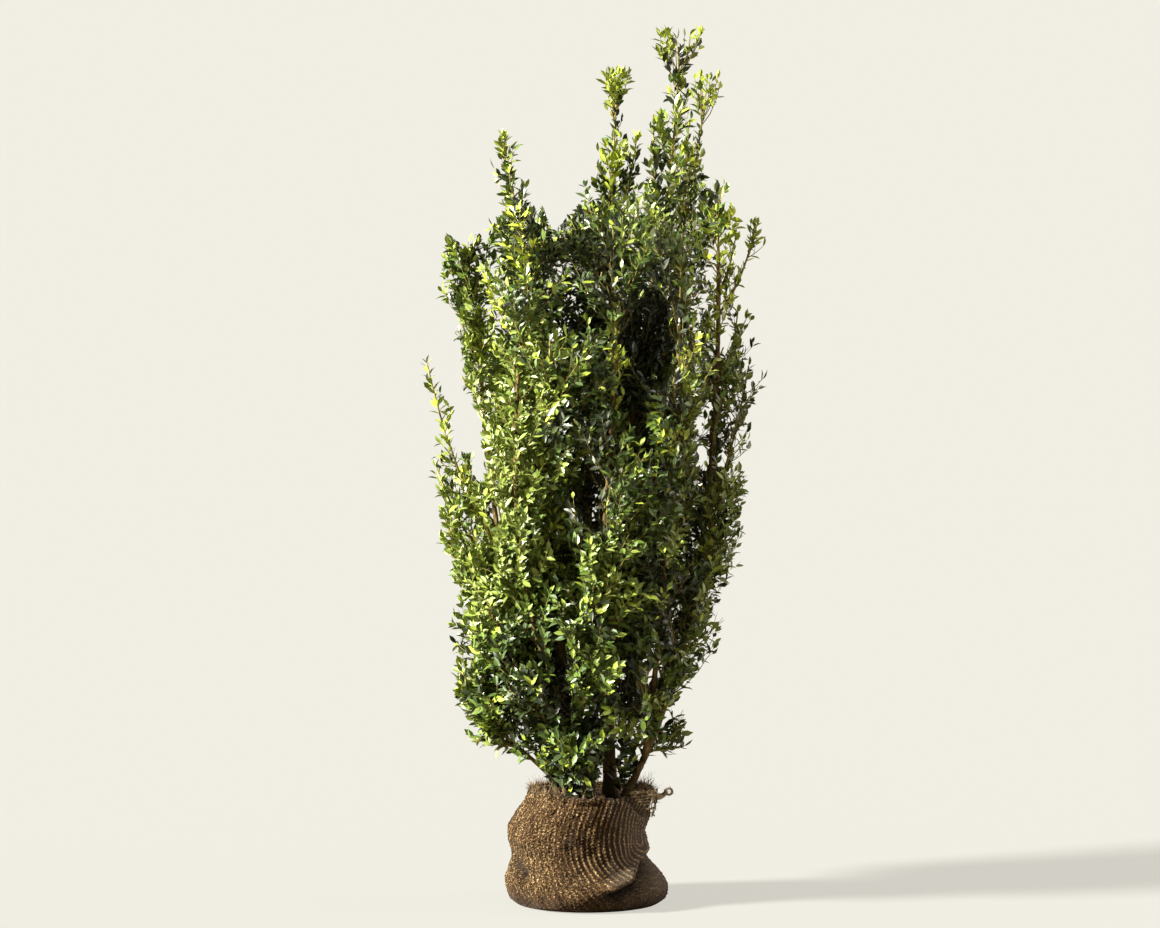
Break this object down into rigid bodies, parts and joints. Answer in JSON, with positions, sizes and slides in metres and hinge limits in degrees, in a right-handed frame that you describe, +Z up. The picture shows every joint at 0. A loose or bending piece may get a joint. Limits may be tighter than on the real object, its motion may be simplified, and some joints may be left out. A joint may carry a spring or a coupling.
{
  "type": "root-balled holly shrub",
  "caption": "Upright, many-stemmed, small-leaved holly shrub standing on its jute-wrapped root ball, as a nursery lifts it for planting.",
  "frame": {"origin": "centre of the flat underside of the root ball", "axes": "+Z up, +X to the right seen from the front, +Y to the back"},
  "size_m": [0.7054, 0.6449, 1.7635],
  "materials": {
    "soil": "rough",
    "burlap": "coarse weave",
    "bark": "matte",
    "leaf": "glossy"
  },
  "bodies": {
    "root": {"bough_low_left": "bark", "bough_low_right": "bark", "burlap_ear": "burlap", "burlap_wrap": "burlap", "clump_front": "leaf", "inner_high": "leaf", "inner_low": "leaf", "inner_middle": "leaf", "leader_middle": "bark", "leader_tall": "bark", "low_left": "leaf", "low_right": "leaf", "lower_1": "leaf", "lower_2": "leaf", "lower_3": "leaf", "lower_4": "leaf", "lower_5": "leaf", "lower_6": "leaf", "middle_1": "leaf", "middle_2": "leaf", "middle_3": "leaf", "middle_4": "leaf", "middle_5": "leaf", "middle_6": "leaf", "side_shoot_left": "leaf", "side_shoot_right": "leaf", "skirt_1": "leaf", "skirt_2": "leaf", "skirt_3": "leaf", "skirt_4": "leaf", "soil_ball": "soil", "stem_back": "bark", "stem_back_left": "bark", "stem_back_right": "bark", "stem_crossing": "bark", "stem_far_left": "bark", "stem_front": "bark", "stem_front_left": "bark", "stem_front_right": "bark", "stem_left": "bark", "stem_right": "bark", "top_back": "leaf", "top_back_left": "leaf", "top_back_right": "leaf", "top_broad": "leaf", "top_far_left": "leaf", "top_front": "leaf", "top_front_left": "leaf", "top_front_right": "leaf", "top_left": "leaf", "top_middle": "leaf", "top_right": "leaf", "top_tallest": "leaf", "trunk": "bark", "upper_1": "leaf", "upper_2": "leaf", "upper_3": "leaf", "upper_4": "leaf", "upper_5": "leaf", "upper_6": "leaf"}
  },
  "joints": []
}
